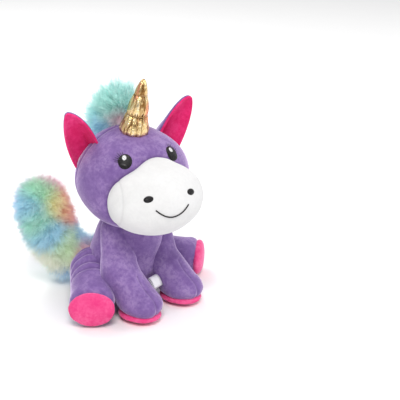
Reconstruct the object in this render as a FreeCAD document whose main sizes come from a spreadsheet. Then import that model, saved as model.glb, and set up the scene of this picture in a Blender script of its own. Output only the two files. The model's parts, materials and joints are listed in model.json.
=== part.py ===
# A sitting plush unicorn, sewn from plush panels over fibre stuffing.
# Row frame: +Z up, the face looks towards -Y, the origin is the centre of the flat seat.
# Every sewn piece is a solid of its own: skins are thin panels, stuffing fills them, and
# each limb turns in a ball-shaped seam round its own pivot.
import FreeCAD, Part
import math
import os

V = FreeCAD.Vector
doc = FreeCAD.newDocument("plush_unicorn")
sheet = doc.addObject("Spreadsheet::Sheet", "sizes")

SIZES = {
    # cloth and clearances
    "skin": 1.8, "gap": 0.4, "thread": 0.5, "pad": 0.9,
    # torso: an egg with a flat seat
    "torso_rx": 38, "torso_ry": 35, "torso_rz": 58, "torso_y": 8, "torso_z": 38,
    "seat_high": 21, "bib_half": 17, "bib_back": -6, "bean_r": 20, "bean_z": 20,
    # neck ball, its collar and the turn of the head at rest
    "neck_r": 28, "neck_z": 66, "collar": 2, "collar_low": 85, "head_turned": -16,
    # head and muzzle eggs
    "head_rx": 56, "head_ry": 50, "head_rz": 48, "head_y": -5, "head_z": 125,
    "head_room": 8, "coronal_y": 4,
    "muzzle_rx": 45, "muzzle_ry": 36, "muzzle_rz": 35, "muzzle_y": -45, "muzzle_z": 114,
    # face embroidery
    "eye_x": 25, "eye_z": 152, "eye_r": 6.4, "eye_tall": 6.9,
    "glint_r": 1.8, "glint_tall": 2.3, "glint_side": 1.2, "glint_up": 2.7,
    "lashes": 3, "lash_long": 4.5, "lash_first": 38, "lash_step": 24, "lash_off": 0.9,
    "nostril_x": 20.5, "nostril_z": 126, "nostril_rx": 4.2, "nostril_rz": 2.9,
    "smile_x": 16, "smile_z": 116.5, "smile_drop": 7.5, "smile_thick": 0.8, "smile_lift": 0.6,
    # horn: a stuffed cone tied in twice
    "horn_y": -10, "horn_z": 171, "horn_lean": 8, "horn_side": 9, "horn_r": 13, "horn_long": 46,
    "tie_low": 14, "tie_low_r": 8.6, "tie_high": 33, "tie_high_r": 5.6, "horn_bulge": 1.6,
    "horn_tip_r": 2,
    # ears
    "ear_x": 44, "ear_y": 4, "ear_z": 149, "ear_tilt": 50, "ear_wide": 36, "ear_long": 42,
    "ear_lean": 14, "ear_swell": 4.5, "ear_ply": 2.2, "ear_groove_r": 6.2, "ear_groove_over": 5,
    # mane
    "mane_core_r": 3.2, "mane_first": 24, "mane_step": 25, "mane_rise": 20, "mane_fall": 5,
    "mane_front_r": 16, "mane_crown_r": 18, "mane_back_r": 15, "mane_nape_r": 11,
    # front legs
    "shoulder_x": 24, "shoulder_y": -10, "shoulder_z": 57, "shoulder_r": 15.5,
    "paw_x": 26, "paw_y": -40, "paw_z": 14, "paw_r": 19.5, "paw_room": 10,
    "sole_r": 17, "sole_thick": 3,
    # hind legs
    "hip_x": 30, "hip_y": 25, "hip_z": 24, "hip_r": 21, "thigh_long": 50, "foot_r": 18.5,
    "foot_z": 20, "foot_room": 16, "splay_left": 58, "splay_right": 45, "foot_face": 11,
    # tail
    "tail_y": 50, "tail_z": 32, "tail_root_r": 9, "tail_core_r": 6, "tail_room": 4,
    "tail_low_x": -17, "tail_low_y": 77, "tail_low_z": 33, "tail_low_r": 25,
    "tail_end_x": -43, "tail_end_y": 86, "tail_end_z": 73, "tail_end_r": 27,
    # care label
    "label_wide": 10.5, "label_long": 10, "label_thick": 0.5, "label_x": 0, "label_z": 28,
    "label_y": -25.7,
}
for row, (alias, value) in enumerate(SIZES.items(), start=1):
    sheet.set(f"A{row}", alias)
    sheet.set(f"B{row}", str(value))
    sheet.setAlias(f"B{row}", alias)
doc.recompute()


def size(alias):
    return float(sheet.get(alias))


def bind(obj, **expressions):
    """Ties properties to the sheet; a word such as torso_rx stands for that cell."""
    for prop, text in expressions.items():
        for alias in sorted(SIZES, key=len, reverse=True):
            text = text.replace("{" + alias + "}", "sizes." + alias)
        obj.setExpression(prop.replace("__", "."), text)
    return obj


def primitive(kind, name, at=(None, None, None), **expressions):
    obj = doc.addObject(kind, name)
    for axis, text in zip("xyz", at):
        if text is not None:
            expressions["Placement__Base__" + axis] = text
    return bind(obj, **expressions)


def ellipsoid(name, at, rx, ry, rz):
    obj = primitive("Part::Ellipsoid", name, at, Radius1=rz, Radius2=rx, Radius3=ry)
    obj.Angle1, obj.Angle2, obj.Angle3 = -90, 90, 360
    return obj


def ball(name, at, radius):
    return primitive("Part::Sphere", name, at, Radius=radius)


def cut(name, base, *tools):
    made = base
    for number, tool in enumerate(tools):
        last = number == len(tools) - 1
        step = doc.addObject("Part::Cut", name if last else f"{name}_cut{number}")
        step.Base, step.Tool = made, tool
        made = step
    return made


def fuse(name, *shapes):
    obj = doc.addObject("Part::MultiFuse", name)
    obj.Shapes = list(shapes)
    return obj


def common(name, *shapes):
    obj = doc.addObject("Part::MultiCommon", name)
    obj.Shapes = list(shapes)
    return obj


def slab(name, low, high):
    """A large box from one corner to the other; a corner's number is a sheet expression."""
    return primitive(
        "Part::Box", name, low,
        Length=f"({high[0]}) - ({low[0]})", Width=f"({high[1]}) - ({low[1]})",
        Height=f"({high[2]}) - ({low[2]})",
    )


def capsule(name, start, start_r, end, end_r):
    """The hull of two balls, turned about the line between them, as a solid."""
    along = end - start
    length = along.Length
    lean = math.asin((start_r - end_r) / length)
    a = V(start_r * math.cos(lean), 0, start_r * math.sin(lean))
    b = V(end_r * math.cos(lean), 0, length + end_r * math.sin(lean))
    half = (math.pi / 2 + lean) / 2
    low = V(start_r * math.sin(half), 0, -start_r * math.cos(half))
    turn = (math.pi / 2 - lean) / 2
    high = V(end_r * math.sin(turn), 0, length + end_r * math.cos(turn))
    edges = [
        Part.Arc(V(0, 0, -start_r), low, a).toShape(),
        Part.LineSegment(a, b).toShape(),
        Part.Arc(b, high, V(0, 0, length + end_r)).toShape(),
        Part.LineSegment(V(0, 0, length + end_r), V(0, 0, -start_r)).toShape(),
    ]
    solid = Part.Face(Part.Wire(edges)).revolve(V(0, 0, 0), V(0, 0, 1), 360)
    obj = doc.addObject("Part::Feature", name)
    obj.Shape = solid
    obj.Placement = FreeCAD.Placement(start, FreeCAD.Rotation(V(0, 0, 1), along))
    return obj


def chain(name, stations):
    """Capsules from station to station, fused; a station is (point, radius)."""
    pieces = [
        capsule(f"{name}_{i}", *stations[i], *stations[i + 1]) for i in range(len(stations) - 1)
    ]
    return pieces[0] if len(pieces) == 1 else fuse(name, *pieces)


FAR = "400"
head_turn = FreeCAD.Rotation(V(0, 0, 1), size("head_turned"))
nodes = {}


def node(label, obj):
    obj.Label = label
    nodes[label] = obj
    return obj


def turned(label, obj):
    """A sub-part of the head, turned about the neck as the head is at rest."""
    shape = doc.addObject("Part::Compound", label + "_turned")
    shape.Links = [obj]
    shape.Placement = FreeCAD.Placement(V(0, 0, 0), head_turn)
    return node(label, shape)


# ---------------------------------------------------------------- shared envelopes
def neck_ball(name, grow):
    return ball(name, (None, None, "{neck_z}"), "{neck_r} + (" + grow + ")")


def head_egg(name, grow):
    return ellipsoid(name, (None, "{head_y}", "{head_z}"), "{head_rx} + (" + grow + ")",
                     "{head_ry} + (" + grow + ")", "{head_rz} + (" + grow + ")")


def muzzle_egg(name, grow):
    return ellipsoid(name, (None, "{muzzle_y}", "{muzzle_z}"), "{muzzle_rx} + (" + grow + ")",
                     "{muzzle_ry} + (" + grow + ")", "{muzzle_rz} + (" + grow + ")")


def shoulder(side):
    return V(side * size("shoulder_x"), size("shoulder_y"), size("shoulder_z"))


def paw(side):
    return V(side * size("paw_x"), size("paw_y"), size("paw_z"))


def hip(side):
    return V(side * size("hip_x"), size("hip_y"), size("hip_z"))


def leg_way(side):
    """The direction of a hind leg, from hip to foot."""
    splay = math.radians(size("splay_left" if side > 0 else "splay_right"))
    drop = (size("foot_z") - size("hip_z")) / size("thigh_long")
    return V(side * math.sin(splay), -math.cos(splay), drop)


def foot(side):
    return hip(side) + leg_way(side) * size("thigh_long")


SIDES = (("left", 1), ("right", -1))


def tail_root():
    return V(0, size("tail_y"), size("tail_z"))


def tail_low():
    return V(size("tail_low_x"), size("tail_low_y"), size("tail_low_z"))


def tail_end():
    return V(size("tail_end_x"), size("tail_end_y"), size("tail_end_z"))


# ---------------------------------------------------------------- torso
def torso_egg(name, grow, floor):
    """The torso's outline, grown or shrunk, with the neck ball and without the moving parts' room."""
    egg = ellipsoid(name + "_egg", (None, "{torso_y}", "{torso_z}"), "{torso_rx} + (" + grow + ")",
                    "{torso_ry} + (" + grow + ")", "{torso_rz} + (" + grow + ")")
    open_egg = cut(name + "_open", egg, head_egg(name + "_head_room", "{head_room}"))
    both = fuse(name + "_both", open_egg, neck_ball(name + "_neck", grow))
    return cut(name, both, slab(name + "_floor", ("-" + FAR,) * 3, (FAR, FAR, floor)))


def limb_rooms(name):
    rooms = []
    for word, side in SIDES:
        gap = size("gap")
        rooms.append(capsule(f"{name}_front_{word}", shoulder(side), size("shoulder_r") + gap,
                             paw(side), size("paw_r") + size("paw_room")))
        rooms.append(capsule(f"{name}_hind_{word}", hip(side), size("hip_r") + gap,
                             foot(side), size("foot_r") + size("foot_room")))
    half_way = (tail_root() + tail_low()) * 0.5
    rooms.append(capsule(f"{name}_tail", tail_root(), size("tail_root_r") + size("gap"),
                         half_way, size("tail_root_r") + size("tail_room")))
    return fuse(name, *rooms)


def make_torso():
    rooms = limb_rooms("limb_rooms")
    outer = torso_egg("torso_outer", "0", "0")
    inner = torso_egg("torso_inner", "-{skin}", "{skin}")
    cloth = cut("torso_cloth", outer, torso_egg("torso_hollow", "-{skin}", "{skin}"), rooms)
    upper = slab("torso_upper", ("-" + FAR, "-" + FAR, "{seat_high}"), (FAR, FAR, FAR))
    lower = slab("torso_lower", ("-" + FAR,) * 3, (FAR, FAR, "{seat_high}"))
    bib = slab("torso_bib", ("-{bib_half}", "-" + FAR, "{seat_high}"),
               ("{bib_half}", "{bib_back}", FAR))
    node("seat_panel", common("seat_cloth", cloth, lower))
    node("belly_panel", common("belly_cloth", cloth, bib))
    sides = cut("torso_sides", common("torso_sides_whole", cloth, upper), bib)
    for word, side in SIDES:
        half = slab(f"torso_half_{word}", ("0" if side > 0 else "-" + FAR, "-" + FAR, "-" + FAR),
                    (FAR if side > 0 else "0", FAR, FAR))
        node(f"torso_panel_{word}", common(f"torso_cloth_{word}", sides, half))
    bag = ball("bean_bag_ball", (None, "{torso_y}", "{bean_z}"), "{bean_r}")
    bag_low = slab("bean_bag_floor", ("-" + FAR,) * 3, (FAR, FAR, "{skin}"))
    bean_bag = cut("bean_bag_body", bag, bag_low, rooms)
    node("seat_bean_bag", bean_bag)
    node("torso_stuffing", cut("torso_fill", inner, rooms, bean_bag))


# ---------------------------------------------------------------- head
def horn_seat():
    return V(0, size("horn_y"), size("horn_z"))


def horn_rotation():
    """The horn leans forwards, and a little towards the toy's left as its filling has settled."""
    forwards = FreeCAD.Rotation(V(1, 0, 0), size("horn_lean"))
    return FreeCAD.Rotation(V(0, 1, 0), size("horn_side")).multiply(forwards)


def ear_placement(side):
    """The ear's own X runs along its root, Z towards its tip, and Y through its thickness."""
    root = V(side * size("ear_x"), size("ear_y"), size("ear_z"))
    return FreeCAD.Placement(root, FreeCAD.Rotation(V(0, 1, 0), side * size("ear_tilt")))


def ear_groove(word, side):
    long = size("ear_wide") + 2 * size("ear_groove_over")
    groove = doc.addObject("Part::Cylinder", f"ear_groove_{word}")
    bind(groove, Radius="{ear_groove_r}")
    groove.Height = long
    along = FreeCAD.Placement(V(-long / 2, 0, 0), FreeCAD.Rotation(V(0, 1, 0), 90))
    groove.Placement = ear_placement(side).multiply(along)
    return groove


def make_head():
    sockets = [neck_ball("head_socket", "{collar} + 2 * {gap}")]
    horn_socket = doc.addObject("Part::Sphere", "horn_socket")
    bind(horn_socket, Radius="{horn_r} + {gap}", Placement__Base__y="{horn_y}",
         Placement__Base__z="{horn_z}")
    sockets.append(horn_socket)
    sockets += [ear_groove(word, side) for word, side in SIDES]
    room = fuse("head_rooms", *sockets)
    outer, inner = head_egg("head_outer", "0"), head_egg("head_inner", "-{skin}")
    snout, snout_in = muzzle_egg("muzzle_outer", "0"), muzzle_egg("muzzle_inner", "-{skin}")
    plush = cut("head_plush", outer, inner, snout, room)
    front = slab("head_front", ("-" + FAR,) * 3, (FAR, "{coronal_y}", FAR))
    turned("face_panel", common("face_cloth", plush, front))
    for word, side in SIDES:
        back = slab(f"head_back_{word}_half",
                    ("0" if side > 0 else "-" + FAR, "{coronal_y}", "-" + FAR),
                    (FAR if side > 0 else "0", FAR, FAR))
        turned(f"head_back_{word}", common(f"head_back_cloth_{word}", plush, back))
    turned("muzzle_panel", cut("muzzle_cloth", snout, snout_in, inner, room))
    turned("head_stuffing", cut("head_fill", fuse("head_fill_whole", inner, snout_in), room))


def on_egg(x, z, centre, radii):
    """The point of an egg's front where x and z are given."""
    fall = 1 - (x / radii.x) ** 2 - ((z - centre.z) / radii.z) ** 2
    return V(x, centre.y - radii.y * math.sqrt(fall), z)


def outward(point, centre, radii):
    away = V((point.x - centre.x) / radii.x**2, (point.y - centre.y) / radii.y**2,
             (point.z - centre.z) / radii.z**2)
    return away.normalize()


def head_centre():
    return V(0, size("head_y"), size("head_z"))


def head_radii():
    return V(size("head_rx"), size("head_ry"), size("head_rz"))


def muzzle_centre():
    return V(0, size("muzzle_y"), size("muzzle_z"))


def muzzle_radii():
    return V(size("muzzle_rx"), size("muzzle_ry"), size("muzzle_rz"))


def button(name, point, normal, rx, rz, thick, lift=0.0):
    """A low oval pad of satin stitch, lying on the cloth with its normal outwards."""
    scale = FreeCAD.Matrix()
    scale.scale(rx, rz, thick)
    pad = doc.addObject("Part::Feature", name + "_pad")
    pad.Shape = Part.makeCylinder(1.0, 1.0).transformGeometry(scale)
    side = V(0, 0, 1).cross(normal).normalize()
    up = normal.cross(side)
    turn = FreeCAD.Rotation(side, up, normal, "ZXY")
    pad.Placement = FreeCAD.Placement(point + normal * lift, turn)
    return pad


def make_face():
    pad, gap = size("pad"), 0.05
    for word, side in SIDES:
        centre, radii = head_centre(), head_radii()
        spot = on_egg(side * size("eye_x"), size("eye_z"), centre, radii)
        away = outward(spot, centre, radii)
        turned(f"eye_{word}", button(f"eye_{word}", spot, away, size("eye_r"), size("eye_tall"),
                                     pad, gap))
        glint = spot + V(side * -size("glint_side"), 0, size("glint_up"))
        turned(f"eye_glint_{word}", button(f"eye_glint_{word}", glint, away, size("glint_r"),
                                           size("glint_tall"), pad / 2, gap * 2 + pad))
        lashes = []
        across = V(0, 0, 1).cross(away).normalize()
        up = away.cross(across)
        for number in range(int(size("lashes"))):
            angle = math.radians(size("lash_first") + size("lash_step") * number)
            way = across * (side * math.cos(angle)) + up * math.sin(angle)
            start = spot + way * (size("eye_tall") + size("lash_off")) + away * size("pad")
            lash = doc.addObject("Part::Cylinder", f"lash_{word}_{number}")
            bind(lash, Radius="{thread}", Height="{lash_long}")
            lash.Placement = FreeCAD.Placement(start, FreeCAD.Rotation(V(0, 0, 1), way))
            lashes.append(lash)
        group = doc.addObject("Part::Compound", f"lashes_{word}")
        group.Links = lashes
        turned(f"eyelashes_{word}", group)
        centre, radii = muzzle_centre(), muzzle_radii()
        spot = on_egg(side * size("nostril_x"), size("nostril_z"), centre, radii)
        away = outward(spot, centre, radii)
        turned(f"nostril_{word}", button(f"nostril_{word}", spot, away, size("nostril_rx"),
                                         size("nostril_rz"), pad, gap))
    make_smile()


def make_smile():
    """A curved thread just in front of the muzzle: one arc through both corners and the middle."""
    centre, radii = muzzle_centre(), muzzle_radii()
    lift = size("smile_thick") + size("smile_lift")
    ends = [on_egg(side * size("smile_x"), size("smile_z"), centre, radii) for side in (-1, 1)]
    middle = on_egg(0, size("smile_z") - size("smile_drop"), centre, radii)
    points = [p + outward(p, centre, radii) * lift for p in (ends[0], middle, ends[1])]
    arc = Part.Arc(*points)
    path = Part.Wire([arc.toShape()])
    normal = arc.tangent(arc.FirstParameter)[0]
    profile = Part.Wire([Part.Circle(points[0], normal, size("smile_thick")).toShape()])
    thread = doc.addObject("Part::Feature", "smile_sweep")
    thread.Shape = path.makePipeShell([profile], True, False)
    turned("smile_thread", thread)


# ---------------------------------------------------------------- horn
def horn_body(name, shrink):
    """A revolved cone with two waists, over a ball-shaped root."""
    body = doc.addObject("PartDesign::Body", name)
    plane = [f for f in body.Origin.OriginFeatures if f.Role == "XZ_Plane"][0]
    sketch = body.newObject("Sketcher::SketchObject", name + "_profile")
    sketch.AttachmentSupport = (plane, "")
    sketch.MapMode = "FlatFace"
    base_r, tip_r = size("horn_r") - shrink, size("horn_tip_r") - shrink / 2
    low, high, top = size("tie_low"), size("tie_high"), size("horn_long") - shrink
    low_r, high_r = size("tie_low_r") - shrink, size("tie_high_r") - shrink
    bulge = size("horn_bulge")
    stations = [V(0, -base_r, 0), V(base_r, 0, 0), V(low_r, low, 0), V(high_r, high, 0),
                V(tip_r, top - tip_r, 0), V(0, top, 0)]
    swell = [None, bulge / 2, bulge, bulge / 2, None]
    for number in range(5):
        a, b = stations[number], stations[number + 1]
        if number == 0:
            middle = V(base_r * math.sqrt(0.5), -base_r * math.sqrt(0.5), 0)
        elif number == 4:
            middle = V(tip_r * math.sqrt(0.5), top - tip_r + tip_r * math.sqrt(0.5), 0)
        else:
            across = V(b.y - a.y, a.x - b.x, 0).normalize()
            middle = (a + b) * 0.5 + across * swell[number]
        sketch.addGeometry(Part.Arc(a, middle, b), False)
    sketch.addGeometry(Part.LineSegment(stations[-1], stations[0]), False)
    turn = body.newObject("PartDesign::Revolution", name + "_turn")
    turn.Profile = sketch
    turn.ReferenceAxis = (sketch, ["V_Axis"])
    turn.Angle = 360
    body.Placement = FreeCAD.Placement(horn_seat(), horn_rotation())
    return body


def tie(name, height, radius):
    ring = doc.addObject("Part::Torus", name)
    bind(ring, Radius1="{" + radius + "} + {thread}", Radius2="{thread}")
    ring.Placement = FreeCAD.Placement(horn_seat(), horn_rotation()).multiply(
        FreeCAD.Placement(V(0, 0, size(height)), FreeCAD.Rotation()))
    return ring


def make_horn():
    low, high = tie("horn_tie_low", "tie_low", "tie_low_r"), tie("horn_tie_high", "tie_high",
                                                                 "tie_high_r")
    outer, inner = horn_body("horn_outer", 0), horn_body("horn_inner", size("skin") / 2)
    hollow = horn_body("horn_hollow", size("skin") / 2)
    turned("horn_cover", cut("horn_cloth", outer, hollow, low, high))
    turned("horn_stuffing", inner)
    turned("horn_tie_lower", low)
    turned("horn_tie_upper", high)


# ---------------------------------------------------------------- ears
def ear_leaf(name, word, side, front):
    """Half the thickness of an ear: a pointed arch of two arcs, padded, over a round root."""
    body = doc.addObject("PartDesign::Body", f"{name}_{word}_body")
    plane = [f for f in body.Origin.OriginFeatures if f.Role == "XZ_Plane"][0]
    sketch = body.newObject("Sketcher::SketchObject", f"{name}_{word}_outline")
    sketch.AttachmentSupport = (plane, "")
    sketch.MapMode = "FlatFace"
    half, tall, lean = size("ear_wide") / 2, size("ear_long"), -side * size("ear_lean")
    left, right, tip = V(-half, 0, 0), V(half, 0, 0), V(lean, tall, 0)
    swell = size("ear_swell")
    for a, b in ((left, tip), (tip, right)):
        across = V(a.y - b.y, b.x - a.x, 0).normalize()
        sketch.addGeometry(Part.Arc(a, (a + b) * 0.5 + across * swell, b), False)
    sketch.addGeometry(Part.LineSegment(right, left), False)
    pad = body.newObject("PartDesign::Pad", f"{name}_{word}_pad")
    pad.Profile = sketch
    bind(pad, Length="{ear_ply}")
    pad.Reversed = not front
    body.Placement = ear_placement(side)
    return body


def make_ears():
    for word, side in SIDES:
        turned(f"ear_lining_{word}", ear_leaf("ear_lining", word, side, True))
        turned(f"ear_back_{word}", ear_leaf("ear_back", word, side, False))


# ---------------------------------------------------------------- mane and tail
def mane_stations(radii, lifts):
    """Points along the head's crown and back, in its middle plane, with a radius each."""
    out = []
    for number, (radius, lift) in enumerate(zip(radii, lifts)):
        angle = math.radians(size("mane_first") + size("mane_step") * number)
        out.append((V(0, size("head_y") + (size("head_ry") + lift) * math.sin(angle),
                      size("head_z") + (size("head_rz") + lift) * math.cos(angle)), radius))
    return out


def make_mane():
    core_r = size("mane_core_r")
    rise, fall = size("mane_rise"), size("mane_fall")
    lifts = [rise, (2 * rise + fall) / 3, (rise + 2 * fall) / 3, fall]
    pile_radii = [size(f"mane_{where}_r") for where in ("front", "crown", "back", "nape")]
    sunk = [core_r / 3] * 4
    core = chain("mane_core", mane_stations([core_r] * 4, sunk))
    hollow = chain("mane_hollow", mane_stations([core_r] * 4, sunk))
    pile = chain("mane_fur", mane_stations(pile_radii, lifts))
    turned("mane_tape", cut("mane_tape_body", core, head_egg("mane_head", "0.1")))
    turned("mane_pile", cut("mane_pile_body", pile, head_egg("mane_pile_head", "0.1"), hollow,
                            horn_body("mane_horn_room", -3)))


def make_tail():
    root = (tail_root(), size("tail_root_r"))
    core_r = size("tail_core_r")
    core_way = [(tail_root(), core_r), (tail_low(), core_r), (tail_end(), core_r)]
    core, hollow = chain("tail_core", core_way), chain("tail_hollow", core_way)
    pile = chain("tail_fur", [root, (tail_low(), size("tail_low_r")),
                              (tail_end(), size("tail_end_r"))])
    node("tail_tube", core)
    node("tail_pile", cut("tail_pile_body", pile, hollow))


# ---------------------------------------------------------------- legs
def leg_nodes(stem, word, outer_ends, sole_plane, sole_r, halves):
    """Two skin panels, stuffing and a sole for one leg; halves names each panel and its side."""
    (start, start_r), (end, end_r) = outer_ends
    skin = size("skin")
    outer = capsule(f"{stem}_{word}_outer", start, start_r, end, end_r)
    inner = capsule(f"{stem}_{word}_inner", start, start_r - skin, end, end_r - skin)
    hollow = capsule(f"{stem}_{word}_hollow", start, start_r - skin, end, end_r - skin)
    origin, normal = sole_plane
    beyond = doc.addObject("Part::Box", f"{stem}_{word}_beyond")
    beyond.Length = beyond.Width = beyond.Height = 200
    face = FreeCAD.Placement(origin, FreeCAD.Rotation(V(0, 0, 1), normal))
    beyond.Placement = face.multiply(FreeCAD.Placement(V(-100, -100, 0), FreeCAD.Rotation()))
    cloth = cut(f"{stem}_{word}_cloth", outer, hollow, beyond)
    node(f"{stem}_stuffing_{word}", cut(f"{stem}_{word}_fill", inner, beyond))
    for part_word, way in halves:
        half = doc.addObject("Part::Box", f"{stem}_{word}_half_{part_word}")
        half.Length = half.Width = half.Height = 300
        spot = FreeCAD.Placement(start, FreeCAD.Rotation(V(0, 0, 1), way))
        half.Placement = spot.multiply(FreeCAD.Placement(V(-150, -150, 0), FreeCAD.Rotation()))
        panel = common(f"{stem}_{word}_panel_{part_word}", cloth, half)
        node(f"{stem}_{part_word}_panel_{word}", panel)
    sole = doc.addObject("Part::Cylinder", f"{stem}_{word}_sole")
    sole.Radius, sole.Height = sole_r, size("sole_thick")
    sole.Placement = face
    node(f"{stem}_sole_{word}", sole)


def make_legs():
    thick = size("sole_thick")
    for word, side in SIDES:
        ends = ((shoulder(side), size("shoulder_r")), (paw(side), size("paw_r")))
        under = V(paw(side).x, paw(side).y, thick)
        away = V(side, 0, 0)
        leg_nodes("front_leg", word, ends, (under, V(0, 0, -1)), size("sole_r"),
                  (("outer", away), ("inner", away * -1)))
        way = leg_way(side)
        flat = V(way.x, way.y, 0).normalize()
        ends = ((hip(side), size("hip_r")), (foot(side), size("foot_r")))
        face = foot(side) + flat * size("foot_face")
        leg_nodes("hind_leg", word, ends, (face, flat), size("sole_r"),
                  (("upper", V(0, 0, 1)), ("lower", V(0, 0, -1))))


# ---------------------------------------------------------------- neck collar and label
def make_collar():
    shell = cut("collar_shell", neck_ball("collar_outer", "{collar} + {gap}"),
                neck_ball("collar_inner", "{gap}"))
    high = slab("collar_high", ("-" + FAR, "-" + FAR, "{collar_low}"), (FAR, FAR, FAR))
    node("neck_collar", common("collar_cap", shell, high))


def make_label():
    """A folded satin label, sewn into the belly seam and standing forwards from it."""
    label = doc.addObject("Part::Box", "care_label_box")
    bind(label, Length="{label_wide}", Width="{label_long}", Height="{label_thick}")
    corner = V(size("label_x") - size("label_wide") / 2, size("label_y") - size("label_long"), size("label_z"))
    label.Placement = FreeCAD.Placement(corner, FreeCAD.Rotation())
    node("care_label", label)


make_torso()
make_head()
make_face()
make_horn()
make_ears()
make_mane()
make_tail()
make_legs()
make_collar()
make_label()
doc.recompute()

for obj in doc.Objects:
    if "Invalid" in obj.State or "Error" in obj.State:
        raise RuntimeError(f"{obj.Label} failed: {obj.State}")
os.makedirs("parts", exist_ok=True)
for label, obj in nodes.items():
    shape = obj.Shape
    if shape.isNull() or not shape.isValid() or not shape.Solids:
        raise RuntimeError(f"{label} has no valid solid")
    shape.exportStep(f"parts/{label}.step")
    print(f"{label:26s}", [round(s.Volume, 1) for s in shape.Solids])
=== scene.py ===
import json
import math

import bpy
import numpy as np
from mathutils import Matrix, Quaternion, Vector, noise
from mathutils.bvhtree import BVHTree
from mathutils.kdtree import KDTree


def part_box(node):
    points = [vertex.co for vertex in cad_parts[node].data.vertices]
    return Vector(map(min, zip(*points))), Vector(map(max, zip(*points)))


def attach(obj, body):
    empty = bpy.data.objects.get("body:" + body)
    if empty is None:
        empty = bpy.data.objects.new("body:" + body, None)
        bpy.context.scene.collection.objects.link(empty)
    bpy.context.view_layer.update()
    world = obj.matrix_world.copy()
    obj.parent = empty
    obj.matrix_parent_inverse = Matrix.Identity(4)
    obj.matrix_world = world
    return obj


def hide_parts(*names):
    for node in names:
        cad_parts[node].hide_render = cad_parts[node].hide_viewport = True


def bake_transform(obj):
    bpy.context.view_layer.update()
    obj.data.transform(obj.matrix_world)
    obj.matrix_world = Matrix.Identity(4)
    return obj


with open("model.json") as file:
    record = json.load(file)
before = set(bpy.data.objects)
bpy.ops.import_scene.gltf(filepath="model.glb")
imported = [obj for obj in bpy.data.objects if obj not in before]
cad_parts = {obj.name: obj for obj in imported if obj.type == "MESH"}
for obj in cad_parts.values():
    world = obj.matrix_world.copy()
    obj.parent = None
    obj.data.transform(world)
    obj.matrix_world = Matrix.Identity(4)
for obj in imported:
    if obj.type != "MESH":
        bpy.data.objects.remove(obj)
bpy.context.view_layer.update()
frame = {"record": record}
record = frame["record"]
pivots = {joint["name"]: Vector(joint["pos_m"]) for joint in record["behaviour"]["joints"]}
axes = {joint["name"]: Vector(joint["axis"]) for joint in record["behaviour"]["joints"]}
rng = np.random.default_rng(7)
MM = 0.001
UP = Vector((0, 0, 1))
NO_TURN = Quaternion()
SIDES = (("left", 1), ("right", -1))


def middle(node):
    """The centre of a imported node's box."""
    low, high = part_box(node)
    return (Vector(low) + Vector(high)) / 2


nod_axis = axes["head_nod"]
head_turn = Matrix.Rotation(math.atan2(nod_axis.y, nod_axis.x), 3, "Z")
HEAD_LEFT = head_turn @ Vector((1, 0, 0))
HEAD_BACK = head_turn @ Vector((0, 1, 0))


def in_head(x, y, z):
    """A place given in millimetres before the head is turned on its neck."""
    return head_turn @ (Vector((x, y, z)) * MM)


# ---------------------------------------------------------------- camera, floor, light
def set_up_studio():
    """A pale floor, three soft lamps and a camera that stands a metre off."""
    look_at = Vector((0, 0, 0.1))
    azimuth, rise = math.radians(-43), math.radians(20)
    aside, below = 0.0648, 0.0028
    back = Vector((math.sin(azimuth) * math.cos(rise), -math.cos(azimuth) * math.cos(rise),
                   math.sin(rise)))
    right = Vector((math.cos(azimuth), math.sin(azimuth), 0))
    up = back.cross(right)
    stand = look_at + back
    aim = look_at + right * aside - up * below
    data = bpy.data.cameras.new("studio_camera")
    data.lens = 95.85
    data.sensor_width = 36
    data.clip_end = 20
    camera = bpy.data.objects.new("studio_camera", data)
    camera.location = stand
    camera.rotation_euler = (aim - stand).to_track_quat("-Z", "Y").to_euler()
    bpy.context.scene.collection.objects.link(camera)
    bpy.context.scene.camera = camera

    bpy.ops.object.select_all(action="DESELECT")
    bpy.ops.mesh.primitive_plane_add(size=12, location=(0, 0, -0.0004))
    floor = bpy.context.active_object
    floor.name = "studio_floor"
    matt = Finish("floor_paper")
    speck = matt.noise(18.0, detail=2.0)
    matt.surface(matt.blend((0.945, 0.945, 0.95), (0.96, 0.96, 0.96), speck), 0.85)
    floor.data.materials.append(matt.material)

    for name, place, power, wide, tint in (
        ("key", (-0.8, -0.9, 1.7), 24.0, 0.8, (1.0, 0.985, 0.96)),
        ("fill", (1.4, -0.9, 0.9), 9.0, 0.9, (0.97, 0.98, 1.0)),
        ("rim", (0.3, 1.3, 1.4), 14.0, 0.9, (1.0, 1.0, 1.0)),
    ):
        lamp = bpy.data.lights.new(name, "AREA")
        lamp.energy = power
        lamp.size = wide
        lamp.color = tint
        stand_in = bpy.data.objects.new(name, lamp)
        stand_in.location = place
        stand_in.rotation_euler = (look_at - stand_in.location).to_track_quat("-Z", "Y").to_euler()
        bpy.context.scene.collection.objects.link(stand_in)
    world = bpy.data.worlds.new("soft_room")
    world.use_nodes = True
    world.node_tree.nodes["Background"].inputs["Color"].default_value = (1, 1, 1, 1)
    world.node_tree.nodes["Background"].inputs["Strength"].default_value = 0.58
    bpy.context.scene.world = world
    bpy.context.scene.view_settings.view_transform = "Standard"


# ---------------------------------------------------------------- shader expressions
class Wire:
    """A socket's output that can be used in plain sums."""

    def __init__(self, finish, socket):
        self.finish, self.socket = finish, socket

    def sum(self, operation, first, second):
        return self.finish.add("ShaderNodeMath", {"operation": operation}, {0: first, 1: second})

    def __add__(self, other):
        return self.sum("ADD", self, other)

    def __radd__(self, other):
        return self.sum("ADD", other, self)

    def __sub__(self, other):
        return self.sum("SUBTRACT", self, other)

    def __rsub__(self, other):
        return self.sum("SUBTRACT", other, self)

    def __mul__(self, other):
        return self.sum("MULTIPLY", self, other)

    def __rmul__(self, other):
        return self.sum("MULTIPLY", other, self)


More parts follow.
